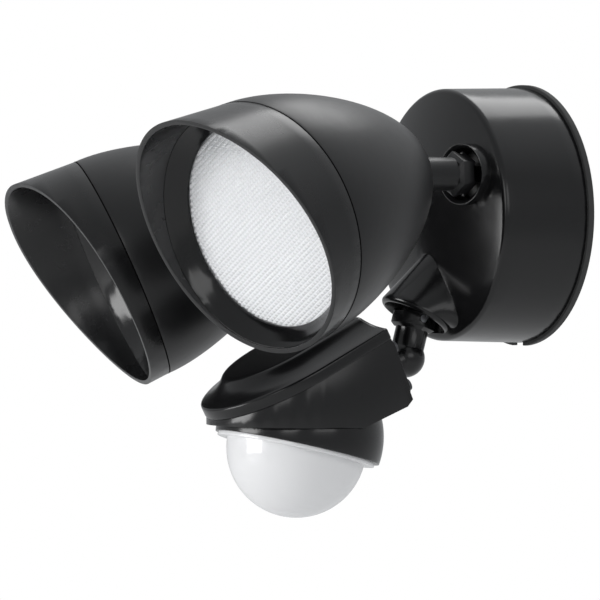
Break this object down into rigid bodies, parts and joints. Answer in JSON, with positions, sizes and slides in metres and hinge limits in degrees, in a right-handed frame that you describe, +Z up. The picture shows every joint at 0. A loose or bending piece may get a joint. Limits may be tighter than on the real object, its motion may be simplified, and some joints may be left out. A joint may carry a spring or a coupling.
{
  "type": "motion sensor security light",
  "caption": "Round wall light with a pair of aimable hooded lamp heads above and a motion sensor with a white dome on a jointed arm below.",
  "frame": {"origin": "centre between the two wall screws, on the wall plane", "axes": "+Y into the wall, so the light stands out towards -Y; +Z up, +X to the right seen from in front"},
  "size_m": [0.2901, 0.2293, 0.1999],
  "materials": {
    "aluminium": "plain",
    "black_gloss": "glossy black",
    "black_housing": "satin black",
    "black_joint": "satin black paint",
    "board_green": "green circuit board",
    "board_white": "white circuit board",
    "brass": "plain",
    "dome_white": "milky white",
    "driver_grey": "mid grey",
    "emitter_yellow": "yellow phosphor",
    "gasket_rubber": "matt black",
    "lens_clear": "clear, prismatic",
    "reflector_white": "white",
    "screw_dark": "blackened",
    "seal_rubber": "matt grey",
    "sensor_metal": "plain",
    "steel": "zinc plated",
    "terminal_cream": "cream"
  },
  "bodies": {
    "base": {"base_housing": "black_housing", "wall_gasket": "gasket_rubber", "wall_bracket": "steel", "fixing_bolt": "steel", "bolt_plug": "gasket_rubber", "led_driver": "driver_grey", "terminal_block": "terminal_cream", "earth_screw": "brass"},
    "lamp_arm_right": {"lamp_stem_right": "black_joint", "lamp_stem_right_nut": "steel", "lamp_stem_right_washer": "steel"},
    "lamp_right": {"lamp_body_right": "black_housing", "lamp_hood_right": "black_housing", "lens_bezel_right": "black_gloss", "lamp_lens_right": "lens_clear", "lens_seal_right": "seal_rubber", "reflector_right": "reflector_white", "led_board_right": "board_white", "led_emitter_right": "emitter_yellow", "heat_sink_right": "aluminium", "board_screws_right": "steel", "tilt_pin_right": "steel"},
    "lamp_arm_left": {"lamp_stem_left": "black_joint", "lamp_stem_left_nut": "steel", "lamp_stem_left_washer": "steel"},
    "lamp_left": {"lamp_body_left": "black_housing", "lamp_hood_left": "black_housing", "lens_bezel_left": "black_gloss", "lamp_lens_left": "lens_clear", "lens_seal_left": "seal_rubber", "reflector_left": "reflector_white", "led_board_left": "board_white", "led_emitter_left": "emitter_yellow", "heat_sink_left": "aluminium", "board_screws_left": "steel", "tilt_pin_left": "steel"},
    "sensor_stem": {"sensor_stem": "black_joint", "sensor_stem_nut": "steel", "sensor_stem_washer": "steel"},
    "sensor": {"sensor_arm": "black_housing", "sensor_housing": "black_housing", "sensor_cover": "black_housing", "dome_collar": "black_housing", "dome_lens": "dome_white", "sensor_board": "board_green", "pir_element": "sensor_metal", "sensor_back_plate": "black_housing", "plate_screws": "screw_dark", "sensor_tilt_pin": "steel"},
    "time_dial": {"time_dial": "black_gloss"},
    "range_dial": {"range_dial": "black_gloss"}
  },
  "joints": [
    {"name": "lamp_swivel_right", "type": "hinge", "parent": "base", "child": "lamp_arm_right", "pos_m": [0.034, -0.046, 0.018], "axis": [0.2419, -0.9703, 0], "range_deg": [-90, 90]},
    {"name": "lamp_tilt_right", "type": "hinge", "parent": "lamp_arm_right", "child": "lamp_right", "pos_m": [0.03676, -0.05706, 0.018], "axis": [-0.0431, -0.0107, 0.999], "range_deg": [-24, 40]},
    {"name": "lamp_swivel_left", "type": "hinge", "parent": "base", "child": "lamp_arm_left", "pos_m": [-0.034, -0.046, 0.018], "axis": [-0.2419, -0.9703, 0], "range_deg": [-90, 60]},
    {"name": "lamp_tilt_left", "type": "hinge", "parent": "lamp_arm_left", "child": "lamp_left", "pos_m": [-0.03676, -0.05706, 0.018], "axis": [-0.5003, 0.1247, 0.8568], "range_deg": [-35, 24]},
    {"name": "sensor_swivel", "type": "hinge", "parent": "base", "child": "sensor_stem", "pos_m": [0, -0.0592, -0.048], "axis": [0, -0.5, -0.866], "range_deg": [-75, 75]},
    {"name": "sensor_tilt", "type": "hinge", "parent": "sensor_stem", "child": "sensor", "pos_m": [0, -0.0592, -0.048], "axis": [1, 0, 0], "range_deg": [-25, 19]},
    {"name": "time_dial_turn", "type": "hinge", "parent": "sensor", "child": "time_dial", "pos_m": [-0.022, -0.0838, -0.071], "axis": [0, 0.9238, 0.383], "range_deg": [-135, 135]},
    {"name": "range_dial_turn", "type": "hinge", "parent": "sensor", "child": "range_dial", "pos_m": [0.022, -0.0838, -0.071], "axis": [0, 0.9238, 0.383], "range_deg": [-135, 135]}
  ]
}
